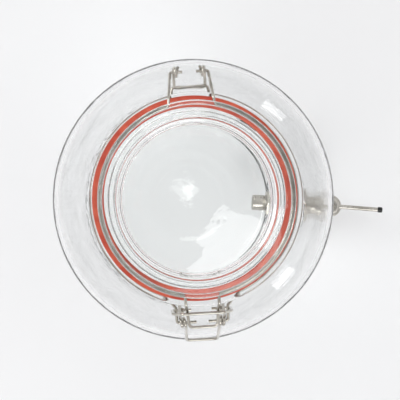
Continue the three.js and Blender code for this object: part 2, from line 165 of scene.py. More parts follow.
# Joins or cuts with other bodies, which are used up.
def shaped(base, operation, tools):
    body = makeObject("work", base)
    for tool in tools:
        other = makeObject("tool", tool)
        change = body.modifiers.new(operation, "BOOLEAN")
        change.operation = operation
        change.solver = "EXACT"
        change.object = other
        applied = bpy.data.meshes.new_from_object(body.evaluated_get(bpy.context.evaluated_depsgraph_get()))
        body.modifiers.clear()
        body.data = applied
        bpy.data.objects.remove(other)
    bm = bmesh.new()
    bm.from_mesh(body.data)
    bpy.data.objects.remove(body)
    return bm


def finishPiece(name, bm, material, body, nodes=(), sharp=35):
    tidyFaces(bm)
    for face in bm.faces:
        face.smooth = True
    for edge in bm.edges:
        edge.smooth = len(edge.link_faces) == 2 and edge.calc_face_angle(0) < math.radians(sharp)
    piece = makeObject(name, bm)
    piece.data.materials.append(material)
    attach(piece, body)
    if nodes:
        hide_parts(*nodes)
    return piece


# A round wire along points in mm, as a curve with a round bevel made into a mesh, with eased ends.
def wireMesh(points, diameter, endBevel=0.25):
    curve = bpy.data.curves.new("route", "CURVE")
    curve.dimensions = "3D"
    curve.bevel_depth = diameter / 2 * mm
    curve.bevel_resolution = 4
    curve.use_fill_caps = True
    spline = curve.splines.new("POLY")
    spline.points.add(len(points) - 1)
    for place, point in zip(spline.points, points):
        place.co = (*(Vector(point) * mm), 1)
    holder = bpy.data.objects.new("route", curve)
    bpy.context.scene.collection.objects.link(holder)
    mesh = bpy.data.meshes.new_from_object(holder.evaluated_get(bpy.context.evaluated_depsgraph_get()))
    bpy.data.objects.remove(holder)
    bm = bmesh.new()
    bm.from_mesh(mesh)
    tidyFaces(bm)
    caps = [face for face in bm.faces if len(face.verts) > 4]
    rims = list({edge for face in caps for edge in face.edges})
    bmesh.ops.bevel(bm, geom=rims, offset=endBevel * mm, affect="EDGES", segments=2, profile=0.5, material=-1)
    return bm


def ringRun(radius, height, start, end, count):
    angles = [start + (end - start) * k / count for k in range(count + 1)]
    return [(radius * math.cos(angle), radius * math.sin(angle), height, 0) for angle in angles]


# Turns of wire round a pin that lies along X; angles go from +Y towards +Z.
def coilRun(centre, radius, start, turn, xStart, xEnd):
    count = math.ceil(abs(turn) / math.radians(10))
    run = []
    for k in range(count + 1):
        share = k / count
        angle = start + turn * share
        x = xStart + (xEnd - xStart) * share
        run.append((x, centre.y + radius * math.cos(angle), centre.z + radius * math.sin(angle), 0))
    return run


def coilEntry(y, z, centre, radius, sense):
    toCentre = math.atan2(centre.z - z, centre.y - y)
    distance = math.hypot(centre.z - z, centre.y - y)
    return toCentre - sense * math.asin(radius / distance) - sense * math.pi / 2


def mirrored(run):
    return [(-corner[0], *corner[1:]) for corner in run]


def wholeRun(half):
    return mirrored(half)[::-1] + half[1:]


# Pressed soda-lime glass: clear, with almost no cast and a fire-polished skin, slow waves from the
# mould and fine draw lines round the wall. Lamps shine through it with a slight loss.
def pressedGlass(name, look):
    material, tree = newMaterial(name)
    place = addNode(tree, "ShaderNodeTexCoord")
    slow = addNode(tree, "ShaderNodeTexNoise", {"Scale": 1 / (look["waveMm"] * mm), "Detail": 1.0},
                   {"Vector": place.outputs["Object"]})
    squeeze = addNode(tree, "ShaderNodeMapping", {"Scale": (1, 1, look["ringStretch"])},
                      {"Vector": place.outputs["Object"]})
    fine = addNode(tree, "ShaderNodeTexNoise", {"Scale": 1 / (look["lineMm"] * mm), "Detail": 2.0},
                   {"Vector": squeeze.outputs["Vector"]})
    slowBump = addNode(tree, "ShaderNodeBump", {"Strength": 1.0, "Distance": look["waveDepthMm"] * mm},
                       {"Height": slow.outputs["Fac"]})
    fineBump = addNode(tree, "ShaderNodeBump", {"Strength": 1.0, "Distance": look["lineDepthMm"] * mm},
                       {"Height": fine.outputs["Fac"], "Normal": slowBump.outputs["Normal"]})
    shader = addNode(tree, "ShaderNodeBsdfPrincipled", {
        "Base Color": linear(look["tint"]), "Roughness": look["roughness"], "IOR": 1.52,
        "Transmission Weight": 1.0,
    }, {"Normal": fineBump.outputs["Normal"]})
    clear = addNode(tree, "ShaderNodeBsdfTransparent", {"Color": linear(look["shadowTint"])})
    ray = addNode(tree, "ShaderNodeLightPath")
    mix = addNode(tree, "ShaderNodeMixShader", None, {
        0: ray.outputs["Is Shadow Ray"], 1: shader.outputs["BSDF"], 2: clear.outputs["BSDF"],
    })
    addNode(tree, "ShaderNodeOutputMaterial", None, {"Surface": mix.outputs["Shader"]})
    return material


# Metal: drawn wire or turned bar. Lines run across the given axis, with a duller worn cast in patches.
def finishedSteel(name, look):
    material, tree = newMaterial(name)
    place = addNode(tree, "ShaderNodeTexCoord")
    grain = addNode(tree, "ShaderNodeMapping", {"Scale": look["grain"], "Rotation": (0, 0, look["turn"])},
                    {"Vector": place.outputs["Object"]})
    lines = addNode(tree, "ShaderNodeTexNoise", {"Scale": 1 / (look["lineMm"] * mm), "Detail": 3.0},
                    {"Vector": grain.outputs["Vector"]})
    patches = addNode(tree, "ShaderNodeTexNoise", {"Scale": 1 / (look["patchMm"] * mm), "Detail": 2.0},
                      {"Vector": place.outputs["Object"]})
    stops = ((0.3, look["dull"]), (0.7, look["bright"]))
    colour = rampNode(tree, stops, patches.outputs["Fac"])
    rough = addNode(tree, "ShaderNodeMapRange", {"To Min": look["roughLow"], "To Max": look["roughHigh"]},
                    {"Value": lines.outputs["Fac"]})
    bump = addNode(tree, "ShaderNodeBump", {"Strength": 1.0, "Distance": look["depthMm"] * mm},
                   {"Height": lines.outputs["Fac"]})
    shader = addNode(tree, "ShaderNodeBsdfPrincipled", {"Metallic": 1.0}, {
        "Base Color": colour.outputs["Color"], "Roughness": rough.outputs["Result"],
        "Normal": bump.outputs["Normal"],
    })
    addNode(tree, "ShaderNodeOutputMaterial", None, {"Surface": shader.outputs["BSDF"]})
    return material


# Moulded elastomer: matt skin with a fine orange-peel grain and slight dust-dulled patches.
def mouldedRubber(name, look):
    material, tree = newMaterial(name)
    place = addNode(tree, "ShaderNodeTexCoord")
    grain = addNode(tree, "ShaderNodeTexNoise", {"Scale": 1 / (look["grainMm"] * mm), "Detail": 3.0},
                    {"Vector": place.outputs["Object"]})
    patches = addNode(tree, "ShaderNodeTexNoise", {"Scale": 1 / (look["patchMm"] * mm), "Detail": 2.0},
                      {"Vector": place.outputs["Object"]})
    stops = ((0.35, look["deep"]), (0.7, look["pale"]))
    colour = rampNode(tree, stops, patches.outputs["Fac"])
    rough = addNode(tree, "ShaderNodeMapRange", {"To Min": look["roughLow"], "To Max": look["roughHigh"]},
                    {"Value": grain.outputs["Fac"]})
    bump = addNode(tree, "ShaderNodeBump", {"Strength": 0.6, "Distance": look["depthMm"] * mm},
                   {"Height": grain.outputs["Fac"]})
    shader = addNode(tree, "ShaderNodeBsdfPrincipled", {
        "IOR": 1.5, "Subsurface Weight": look["translucent"], "Subsurface Scale": 0.002,
    }, {
        "Base Color": colour.outputs["Color"], "Roughness": rough.outputs["Result"],
        "Normal": bump.outputs["Normal"],
    })
    addNode(tree, "ShaderNodeOutputMaterial", None, {"Surface": shader.outputs["BSDF"]})
    return material


jarGlass = pressedGlass("pressedJarGlass", {
    "tint": "#fdfdfd", "shadowTint": "#f7f8f8", "roughness": 0.0,
    "waveMm": 45, "waveDepthMm": 0.35, "lineMm": 9, "lineDepthMm": 0.06, "ringStretch": 4,
})
lidGlass = pressedGlass("pressedLidGlass", {
    "tint": "#fdfefd", "shadowTint": "#f7f8f8", "roughness": 0.0,
    "waveMm": 40, "waveDepthMm": 0.12, "lineMm": 12, "lineDepthMm": 0.01, "ringStretch": 1,
})
wireSteel = finishedSteel("drawnWireSteel", {
    "bright": "#d2cec6", "dull": "#a7a298", "lineMm": 0.6, "patchMm": 14, "grain": (1, 1, 1), "turn": 0,
    "roughLow": 0.07, "roughHigh": 0.2, "depthMm": 0.015,
})
tapTurn = math.atan2(jointAt["tap_turn"].y, jointAt["tap_turn"].x)
turnedSteel = finishedSteel("turnedTapSteel", {
    "bright": "#d4d0c9", "dull": "#aeaaa1", "lineMm": 3, "patchMm": 20, "grain": (9, 1, 1), "turn": -tapTurn,
    "roughLow": 0.2, "roughHigh": 0.36, "depthMm": 0.03,
})
redRubber = mouldedRubber("redGasketRubber", {
    "deep": "#b5402b", "pale": "#cc5c43", "grainMm": 0.5, "patchMm": 9, "roughLow": 0.45,
    "roughHigh": 0.65, "depthMm": 0.05, "translucent": 0.15,
})
clearSilicone = mouldedRubber("clearSealSilicone", {
    "deep": "#d9d7d0", "pale": "#ebe9e3", "grainMm": 0.7, "patchMm": 8, "roughLow": 0.35,
    "roughHigh": 0.5, "depthMm": 0.02, "translucent": 0.5,
})
dippedBlack = mouldedRubber("dippedBlackPlastic", {
    "deep": "#121212", "pale": "#1f1f20", "grainMm": 0.4, "patchMm": 3, "roughLow": 0.3,
    "roughHigh": 0.45, "depthMm": 0.02, "translucent": 0.0,
})
print("materials made")

jarHigh = boxMm("glass_jar")[1]
valveAt = jointAt["tap_turn"]
tapReach = math.hypot(valveAt.x, valveAt.y)
tapFrame = Matrix.Rotation(tapTurn, 4, "Z") @ Matrix.Translation((0, 0, valveAt.z * mm))
valveFrame = tapFrame @ Matrix.Translation((tapReach * mm, 0, 0))
tipLow, tipHigh = boxMm("lever_tip")
toTip = (tipLow + tipHigh) / 2 - valveAt
leverTurn = math.atan2(toTip.y, toTip.x)
handleFrame = Matrix.Translation(valveAt * mm) @ Matrix.Rotation(leverTurn, 4, "Z")

jar = {
    "baseRadius": 86, "heelRadius": 12, "heelFlat": 4, "widestHeight": 186, "neckRadius": 75.5,
    "neckLength": 32, "footFlare": 10, "footRise": 48, "bellyRise": 68, "shoulderRise": 24,
    "neckFlare": 4.5, "neckRise": 24, "wall": 4.5, "floor": 6, "floorInset": 2, "pushUp": 2,
    "panelRadius": 44, "ringInner": 64, "ridgeHeight": 0.9, "ridgeHalf": 7, "ridgeLean": 1,
    "ridgeStep": 0.2, "domeHeight": 1.6, "beadOverhang": 6.5, "beadHeight": 10, "beadSlope": 0.5,
    "mouthDepth": 12, "bossFlat": 15.5, "bossEdge": 27, "bossInner": 87.02, "bossOuter": 95.02,
    "holeRadius": 8.4, "holeOverrun": 12, "steps": 180, "lowerSteps": 36, "upperSteps": 28,
    "heelSteps": 10, "fineInner": 60, "fineLow": 1, "fineHalf": 34, "fineRise": 30,
}
beadRadius = jar["neckRadius"] + jar["beadOverhang"]


def jarProfile():
    height = jarHigh.z
    widest = jarHigh.x
    neckBottom = height - jar["neckLength"]
    beadBase = height - jar["beadHeight"]
    neck = jar["neckRadius"]
    mouth = neck - jar["wall"]
    base = jar["baseRadius"]
    heel = jar["heelRadius"]
    heelStart = base - heel + jar["heelFlat"]
    belly = jar["widestHeight"]
    top = jar["floor"] + jar["pushUp"]
    lower = bezierRun((base, heel), (base + jar["footFlare"], heel + jar["footRise"]),
                      (widest, belly - jar["bellyRise"]), (widest, belly), jar["lowerSteps"])
    upper = bezierRun((widest, belly), (widest, belly + jar["shoulderRise"]),
                      (neck + jar["neckFlare"], neckBottom - jar["neckRise"]), (neck, neckBottom),
                      jar["upperSteps"])
    side = lower + upper[1:]
    inside = []
    for i, point in enumerate(side):
        along = (side[min(i + 1, len(side) - 1)] - side[max(i - 1, 0)]).normalized()
        inside.append(point + Vector((-along.y, along.x)) * jar["wall"])
    under = roundBends([
        (0, jar["pushUp"], 0), (jar["panelRadius"], jar["pushUp"], 6), (jar["ringInner"], 0, 6),
        (heelStart, 0, 0),
    ])
    heelRun = bezierRun((heelStart, 0), (base - heel / 3, 0), (base, heel / 3), (base, heel),
                        jar["heelSteps"])
    rim = roundBends([
        (neck, neckBottom, 0), (neck, beadBase - jar["beadSlope"], 1.5), (beadRadius, beadBase, 4),
        (beadRadius, height, 3.4), (mouth, height, 2.2), (mouth, height - jar["mouthDepth"], 0),
    ])
    ridge = jar["panelRadius"]
    floor = roundBends([
        tuple(inside[0]) + (0,), (base - jar["wall"] - jar["floorInset"], top, 7),
        (ridge + jar["ridgeHalf"], top, 6), (ridge + jar["ridgeLean"], top + jar["ridgeHeight"], 5),
        (ridge - jar["ridgeHalf"], top + jar["ridgeStep"], 8), (0, top + jar["domeHeight"], 0),
    ])
    return under + heelRun[1:-1] + side[:-1] + rim + inside[::-1][:-1] + floor


# The wall swells to a flat pad round the tap hole: vertices near the tap's line move to the pad's faces.
def pressBoss(bm):
    heading = Vector((math.cos(tapTurn), math.sin(tapTurn), 0))
    sideways = Vector((-heading.y, heading.x, 0))
    bm.normal_update()
    for vert in bm.verts:
        place = vert.co / mm
        out = place.dot(heading)
        if out < jar["fineInner"] or place.z < jar["fineLow"]:
            continue
        aside = math.hypot(place.dot(sideways), place.z - valveAt.z)
        if aside > jar["bossEdge"]:
            continue
        share = min(1, max(0, (jar["bossEdge"] - aside) / (jar["bossEdge"] - jar["bossFlat"])))
        share = share * share * (3 - 2 * share)
        face = jar["bossOuter"] if vert.normal.dot(heading) > 0 else jar["bossInner"]
        vert.co += heading * (face - out) * share * mm


def nearTap(vert):
    place = vert.co / mm
    level = abs(place.z - valveAt.z) < jar["fineRise"]
    return place.x > jar["fineInner"] and level and abs(place.y) < jar["fineHalf"]


def makeJar():
    bm = turnedBody(jarProfile(), jar["steps"])
    near = [edge for edge in bm.edges if all(nearTap(vert) for vert in edge.verts)]
    bmesh.ops.subdivide_edges(bm, edges=near, cuts=1, use_grid_fill=True)
    pressBoss(bm)
    holeStart = jar["bossInner"] - jar["holeOverrun"]
    holeEnd = jar["bossOuter"] + jar["holeOverrun"]
    hole = turnedBody(rodProfile(jar["holeRadius"], holeStart, holeEnd), 64, "X")
    bmesh.ops.transform(hole, matrix=tapFrame, verts=hole.verts)
    body = shaped(bm, "DIFFERENCE", [hole])
    finishPiece("jarBody", body, jarGlass, "jar", ["glass_jar"])


makeJar()
print("jar made")

lidLow, lidHigh = boxMm("glass_lid")
lid = {
    "spigotDepth": 7.6, "spigotRadius": 67, "wireLift": 6.4, "grooveDepth": 3.9, "grooveHalf": 1.7,
    "dishRadius": 59, "dishDepth": 11, "dishLean": 3, "dishFoot": 1, "paneFoot": 2, "pane": 5.5,
    "steps": 180,
}
lidSeat = lidLow.z + lid["spigotDepth"]
lidWireLine = lidSeat + lid["wireLift"]


def makeLid():
    radius = lidHigh.x
    top = lidHigh.z
    dishFloor = top - lid["dishDepth"]
    under = dishFloor - lid["pane"]
    dish = lid["dishRadius"]
    spigot = lid["spigotRadius"]
    groove = radius - lid["grooveDepth"]
    low = lidWireLine - lid["grooveHalf"]
    high = lidWireLine + lid["grooveHalf"]
    profile = roundBends([
        (0, under, 0), (dish - lid["paneFoot"], under, 3), (dish + lid["dishLean"], lidLow.z, 2),
        (spigot, lidLow.z, 2), (spigot, lidSeat, 0.8), (radius, lidSeat, 1.6), (radius, low, 0.8),
        (groove, low, 1.2), (groove, high, 1.2), (radius, high, 0.8), (radius, top, 4.5),
        (dish + lid["dishLean"], top, 4), (dish - lid["dishFoot"], dishFloor, 4), (0, dishFloor, 0),
    ])
    finishPiece("lidPane", turnedBody(profile, lid["steps"]), lidGlass, "lid", ["glass_lid"])


# The rubber wets the glass above and below it, and never lies quite central.
gasket = {"play": 1.8, "press": 0.05, "bend": 1.1, "lies": (-1.15, 0.75, 0)}


def makeGasket():
    low, high = boxMm("lid_gasket")
    inner = lid["spigotRadius"] + gasket["play"]
    press = gasket["press"]
    bm = turnedBody(ringProfile(inner, high.x, low.z - press, high.z + press, gasket["bend"]), lid["steps"])
    bmesh.ops.translate(bm, verts=bm.verts, vec=Vector(gasket["lies"]) * mm)
    finishPiece("lidGasket", bm, redRubber, "lid", ["lid_gasket"])


makeLid()
makeGasket()
print("lid and gasket made")

wire = {
    "diameter": 2.4, "gap": 0.35, "pinPlay": 0.9, "groovePlay": 0.3, "neckPlay": 0.7, "neckDrop": 3,
    "lidSteps": 60, "neckSteps": 56, "bendSkip": 3,
}
coilRadius = wire["diameter"] + wire["pinPlay"]
pitch = wire["diameter"] + wire["gap"]
rear = {
    "barReach": 86, "barSkew": 0.6, "barHalf": 13.5, "barLead": 2, "barDrop": 6, "weldSink": 0.6,
    "coilHalf": 11.9, "coilTurns": 1.25, "pinEnd": 5.3, "legHalf": 17.3, "legLean": 0.4, "legStandOff": 2,
}
front = {
    "barReach": 86.5, "barHalf": 16, "barDrop": 2.65, "linkShoulder": 14, "linkPinEnd": 8,
    "tongueReach": 97, "tongueHalf": 10.8, "tongueFlare": 0.9, "tongueStep": 2, "tongueDrop": 5,
    "tongueDip": 2.4, "tongueLegHalf": 12.7, "legStandOff": 4, "handleReach": 111, "handleDrop": 60,
    "handleHalf": 12.2, "coilPlay": 0.8, "coilTurns": 1.44, "eyeletTurns": 0.9, "pinEnd": 4.6,
    "armBearing": math.radians(68), "beadPlay": 0.6,
}
hingeAt = jointAt["lid_hinge"]
pivotAt = jointAt["clasp_lever_pivot"]
linkAt = jointAt["clasp_link_pivot"]
leverCoilStart = front["handleHalf"] + front["coilPlay"]
leverArmHalf = leverCoilStart + front["coilTurns"] * pitch
neckArmHalf = leverArmHalf + pitch
linkLegHalf = neckArmHalf + pitch


def wirePiece(name, corners, body, nodes=()):
    points = [tuple(point) for point in roundBends(corners)]
    return finishPiece(name, wireMesh(points, wire["diameter"]), wireSteel, body, nodes)


def makeLidWire():
    radius = lidHigh.x - lid["grooveDepth"] + wire["groovePlay"] + wire["diameter"] / 2
    seat = lidWireLine - front["tongueDrop"]
    lip = seat - front["tongueDip"]
    start = -math.acos(front["tongueLegHalf"] / radius)
    end = math.acos(rear["legHalf"] / radius)
    ring = ringRun(radius, lidWireLine, start, end, wire["lidSteps"])
    skip = wire["bendSkip"]
    half = [
        (0, -front["tongueReach"], lip, 0),
        (front["tongueHalf"], -front["tongueReach"], lip, 4),
        (front["tongueHalf"] + front["tongueFlare"], -front["barReach"] + front["tongueStep"], seat, 3),
        (front["tongueLegHalf"], -lidHigh.x - front["legStandOff"], lidWireLine, 4),
        (*ring[0][:3], 4),
        *ring[skip:-skip],
        (*ring[-1][:3], 4),
        (rear["legHalf"] - rear["legLean"], lidHigh.x + rear["legStandOff"], lidWireLine, 4),
        (rear["coilHalf"] + pitch, hingeAt.y, hingeAt.z, 2),
        (rear["pinEnd"], hingeAt.y, hingeAt.z, 0),
    ]
    wirePiece("lidWire", wholeRun(half), "lid", ["lid_wire"])


def makeNeckWire(side, name, nodes):
    radius = jar["neckRadius"] + wire["diameter"] / 2 + wire["neckPlay"]
    height = jarHigh.z - jar["beadHeight"] - wire["neckDrop"]
    barHeight = hingeAt.z - rear["barDrop"] + side * (wire["diameter"] - rear["weldSink"]) / 2
    start = -front["armBearing"]
    end = math.acos((rear["barHalf"] + rear["barLead"]) / radius)
    ring = ringRun(radius, height, start, end, wire["neckSteps"])
    riserY = rear["barReach"] - rear["barSkew"]
    entry = coilEntry(riserY, barHeight, hingeAt, coilRadius, 1)
    turn = fullTurn * rear["coilTurns"]
    coilEnd = -rear["coilHalf"] + rear["coilTurns"] * pitch
    half = [
        (front["pinEnd"], pivotAt.y, pivotAt.z, 0),
        (neckArmHalf, pivotAt.y, pivotAt.z, 2),
        (neckArmHalf, -beadRadius - front["beadPlay"], height, 4),
        *ring[:-1],
        (*ring[-1][:3], 3),
        (rear["barHalf"], rear["barReach"] + rear["barSkew"], barHeight, 3),
        (-rear["coilHalf"], riserY, barHeight, 2.5),
        *coilRun(hingeAt, coilRadius, entry, turn, -rear["coilHalf"], coilEnd),
    ]
    wirePiece(name, [(side * corner[0], *corner[1:]) for corner in half], "jar", nodes)


def makeLever():
    handleY = -front["handleReach"]
    handleZ = jarHigh.z - front["handleDrop"]
    entry = coilEntry(handleY, handleZ, pivotAt, coilRadius, -1)
    leaving = math.atan2(linkAt.z - pivotAt.z, linkAt.y - pivotAt.y) + math.pi / 2
    wind = -(math.fmod(entry - leaving, fullTurn) + fullTurn)
    eyeletEnd = leverArmHalf - front["eyeletTurns"] * pitch
    half = [
        (0, handleY, handleZ, 0),
        (front["handleHalf"], handleY, handleZ, 3.5),
        *coilRun(pivotAt, coilRadius, entry, wind, leverCoilStart, leverArmHalf),
        *coilRun(linkAt, coilRadius, leaving, -fullTurn * front["eyeletTurns"], leverArmHalf, eyeletEnd),
    ]
    wirePiece("claspLever", wholeRun(half), "lever", ["clasp_lever"])


def makeLink():
    barHeight = lidWireLine - front["barDrop"]
    half = [
        (0, -front["barReach"], barHeight, 0),
        (front["barHalf"], -front["barReach"], barHeight, 3),
        (linkLegHalf, -front["barReach"], barHeight - front["linkShoulder"], 6),
        (linkLegHalf, linkAt.y, linkAt.z, 2),
        (front["linkPinEnd"], linkAt.y, linkAt.z, 0),
    ]
    wirePiece("claspLink", wholeRun(half), "link", ["clasp_link"])


makeLidWire()
makeNeckWire(1, "neckWireRight", ["neck_wire"])
makeNeckWire(-1, "neckWireLeft", [])
makeLever()
makeLink()
print("wires made")

tap = {
    "fit": 0.3, "cutOver": 5,
    "shankRadius": 7.9, "bore": 4.5, "shankStart": 64, "noseChamfer": 0.7, "shankRelief": 0.6,
    "threadPitch": 1.5, "threadDepth": 0.45, "threadLead": 0.7, "threadBend": 0.12, "threadRunOut": 2.5,
    "threadStop": 1, "crestShare": (0.45, 0.6),
    "sealThickness": 2, "sealRadius": 13.5, "sealBore": 8.3, "washerThickness": 1, "washerInset": 1,
    "nutThickness": 5, "nutCorner": 13.9, "nutFace": 0.9, "nutDome": 1.01, "nutBevel": 1.1,
    "boreFlare": 1, "boreLead": 0.6,
    "flangeRadius": 14, "flangeThickness": 3.5, "neckSwell": 1.6, "neckWaist": 0.4, "neckLength": 6,
    "housingRadius": 9.5, "housingTop": 13, "housingBottom": -14, "bonnetThickness": 3,
    "spoutLength": 15, "spoutRadius": 6.5, "spoutTip": 5.5, "spoutNeck": 3, "spoutShoulder": 8,
    "outletRadius": 4, "plugRadius": 6, "plugBottom": -8.7, "plugShoulder": 0.6, "port": 3.4,
    "sealBed": 1.9, "grooveHalf": 0.8, "ringHalf": 0.55, "lowerSealRise": 2.2, "upperSealDrop": 3.4,
    "stemRadius": 3.6, "stemLength": 7.6, "knobRadius": 7.3, "knobHeight": 8, "webThickness": 1.7,
    "screwRadius": 1.5, "screwLength": 6, "headEdge": 1.5, "headCrown": 1.9,
    "slotSize": (0.8, 8, 1.2), "slotRise": 1.7,
    "rodRadius": 1.9, "rodRoot": 1.3, "leverLength": 45, "tipLength": 4, "tipRadius": 2.4,
    "tangRadius": 1.2, "tangShort": 1.6, "socketRadius": 1.5, "socketShort": 1.3,
}
sealOuter = jar["bossOuter"] + tap["fit"]
flangeStart = sealOuter + tap["sealThickness"] + tap["fit"]
flangeEnd = flangeStart + tap["flangeThickness"]
sealInner = jar["bossInner"] - tap["fit"] - tap["sealThickness"]
washerStart = sealInner - tap["fit"] - tap["washerThickness"]
nutEnd = washerStart - tap["fit"]
knobBase = tap["housingTop"] + tap["bonnetThickness"] + 2 * tap["fit"]
knobTop = knobBase + tap["knobHeight"]
plugShoulder = tap["housingTop"] - tap["plugShoulder"]
stemTop = plugShoulder + tap["stemLength"]
leverLine = (knobBase + knobTop) / 2
plugSealHeights = {
    "Lower": tap["plugBottom"] + tap["lowerSealRise"],
    "Upper": tap["housingTop"] - tap["upperSealDrop"],
}


def placed(bm, matrix):
    bmesh.ops.transform(bm, matrix=matrix, verts=bm.verts)
    return bm


def tapPiece(name, bm, matrix, material, body, nodes, sharp=35):
    return finishPiece(name, placed(bm, matrix), material, body, nodes, sharp)


# The shank's crests and roots follow one another at the thread's pitch.
def threadedRun(start, end):
    crest = tap["shankRadius"]
    root = crest - tap["threadDepth"]
    step = tap["threadPitch"]
    count = int((end - start) / step)
    run = []
    for k in range(count):
        along = start + tap["threadLead"] + k * step
        run.append((root, along, 0))
        for share in tap["crestShare"]:
            run.append((crest, along + share * step, tap["threadBend"]))
    return run + [(root, end, 0)]


def makeTapBody():
    crest = tap["shankRadius"]
    nose = tap["shankStart"]
    chamfer = tap["noseChamfer"]
    flange = tap["flangeRadius"]
    waist = crest - tap["neckWaist"]
    threadStart = nutEnd - tap["nutThickness"] - tap["threadRunOut"]
    corners = [
        (0, nose, 0), (crest - chamfer, nose, 0), (crest, nose + chamfer, 0), (crest, threadStart, 0),
        *threadedRun(threadStart, flangeStart - tap["threadStop"]),
        (crest, flangeStart - tap["shankRelief"], 0), (crest, flangeStart, 0), (flange, flangeStart, 0.5),
        (flange, flangeEnd, 1.2), (crest + tap["neckSwell"], flangeEnd, 1.2),
        (waist, flangeEnd + tap["neckLength"], 8), (waist, tapReach, 0), (0, tapReach, 0),
    ]
    barrel = turnedBody(roundBends(corners, math.radians(20)), 64, "X")
    bottom = tap["housingBottom"]
    mouth = bottom - tap["spoutLength"]
    housing = turnedBody(roundBends([
        (0, mouth, 0), (tap["spoutTip"], mouth, 0.6), (tap["spoutTip"], bottom - tap["spoutShoulder"], 3),
        (tap["spoutRadius"], bottom - tap["spoutNeck"], 3), (tap["spoutRadius"], bottom, 1),
        (tap["housingRadius"], bottom, 1.6), (tap["housingRadius"], tap["housingTop"], 0.5),
        (0, tap["housingTop"], 0),
    ]), 64)
    atValve = Matrix.Translation((tapReach * mm, 0, 0))
    placed(housing, atValve)
    whole = shaped(barrel, "UNION", [housing])
    waterway = turnedBody(rodProfile(tap["bore"], nose - tap["cutOver"], tapReach), 48, "X")
    seatBottom = tap["plugBottom"] - tap["fit"]
    seatTop = tap["housingTop"] + tap["cutOver"]
    seat = placed(turnedBody(rodProfile(tap["plugRadius"] + tap["fit"], seatBottom, seatTop), 48), atValve)
    outlet = placed(turnedBody(rodProfile(tap["outletRadius"], mouth - tap["cutOver"], 0), 48), atValve)
    whole = shaped(whole, "DIFFERENCE", [waterway, seat, outlet])
    tapPiece("tapBody", whole, tapFrame, turnedSteel, "jar", ["tap_body"])


def makeShankFittings():
    bore = tap["sealBore"]
    seals = (("outerSeal", sealOuter, "tap_outer_seal"), ("innerSeal", sealInner, "tap_inner_seal"))
    for name, start, node in seals:
        profile = ringProfile(bore, tap["sealRadius"], start, start + tap["sealThickness"], 0.6)
        tapPiece(name, turnedBody(profile, 64, "X"), tapFrame, clearSilicone, "jar", [node])
    outer = tap["sealRadius"] - tap["washerInset"]
    profile = ringProfile(bore, outer, washerStart, washerStart + tap["washerThickness"], 0.2)
    tapPiece("innerWasher", turnedBody(profile, 64, "X"), tapFrame, turnedSteel, "jar",
             ["tap_inner_washer"])


# A hexagon with its corners turned off both ends, as a nut is.
def makeNut():
    start = nutEnd - tap["nutThickness"]
    corner = tap["nutCorner"]
    bm = bmesh.new()
    bmesh.ops.create_cone(bm, cap_ends=True, segments=6, radius1=corner * mm, radius2=corner * mm,
                          depth=tap["nutThickness"] * mm)
    turn = Matrix.Rotation(math.pi / 2, 4, "Y") @ Matrix.Rotation(math.pi / 2, 4, "Z")
    placed(bm, Matrix.Translation(((start + nutEnd) / 2 * mm, 0, 0)) @ turn)
    face = corner * tap["nutFace"]
    edge = corner * tap["nutDome"]
    bevel = tap["nutBevel"]
    dome = turnedBody([
        (0, start), (face, start), (edge, start + bevel), (edge, nutEnd - bevel), (face, nutEnd),
        (0, nutEnd),
    ], 64, "X")
    hole = tap["sealBore"]
    flare = tap["boreFlare"]
    lead = tap["boreLead"]
    bore = turnedBody([
        (0, start - flare), (hole + flare, start - flare), (hole, start + lead), (hole, nutEnd - lead),
        (hole + flare, nutEnd + flare), (0, nutEnd + flare),
    ], 48, "X")
    bm = shaped(bm, "INTERSECT", [dome])
    bm = shaped(bm, "DIFFERENCE", [bore])
    tapPiece("lockNut", bm, tapFrame, turnedSteel, "jar", ["tap_lock_nut"], 20)


def makeBonnet():
    base = tap["housingTop"] + tap["fit"]
    top = base + tap["bonnetThickness"]
    inner = tap["stemRadius"] + tap["fit"]
    outer = tap["housingRadius"]
    profile = roundBends([(inner, base, 0), (outer, base, 0.5), (outer, top, 1.4), (inner, top, 0)])
    bonnet = turnedBody(profile, 64)
    tapPiece("tapBonnet", bonnet, valveFrame, turnedSteel, "jar", ["tap_bonnet"])


# The plug is one bar, turned down to its stem, with two seal grooves and an L-shaped port.
def makePlug():
    radius = tap["plugRadius"]
    stem = tap["stemRadius"]
    bed = radius - tap["sealBed"]
    corners = [(0, tap["plugBottom"], 0), (radius, tap["plugBottom"], 0.6)]
    for height in plugSealHeights.values():
        low = height - tap["grooveHalf"]
        high = height + tap["grooveHalf"]
        corners += [(radius, low, 0), (bed, low, 0), (bed, high, 0), (radius, high, 0)]
    corners += [(radius, plugShoulder, 0.5), (stem, plugShoulder, 0.3), (stem, stemTop, 0.5), (0, stemTop, 0)]
    bm = turnedBody(roundBends(corners), 48)
    across = turnedBody(rodProfile(tap["port"], 0, 3 * radius), 32, "X")
    placed(across, Matrix.Rotation(math.pi / 2, 4, "Z"))
    down = turnedBody(rodProfile(tap["port"], tap["plugBottom"] - tap["cutOver"], 0), 32)
    holeBottom = stemTop - tap["screwLength"] - tap["fit"]
    holeTop = stemTop + tap["cutOver"]
    screwHole = turnedBody(rodProfile(tap["screwRadius"] + tap["fit"], holeBottom, holeTop), 32)
    bm = shaped(bm, "DIFFERENCE", [across, down, screwHole])
    tapPiece("valvePlug", bm, handleFrame, turnedSteel, "tap_handle", ["valve_plug"])
    half = tap["ringHalf"]
    for end, height in plugSealHeights.items():
        seal = turnedBody(ringProfile(bed + tap["fit"], radius, height - half, height + half, 0.5), 48)
        tapPiece("plugSeal" + end, seal, handleFrame, clearSilicone, "tap_handle",
                 ["plug_seal_" + end.lower()])


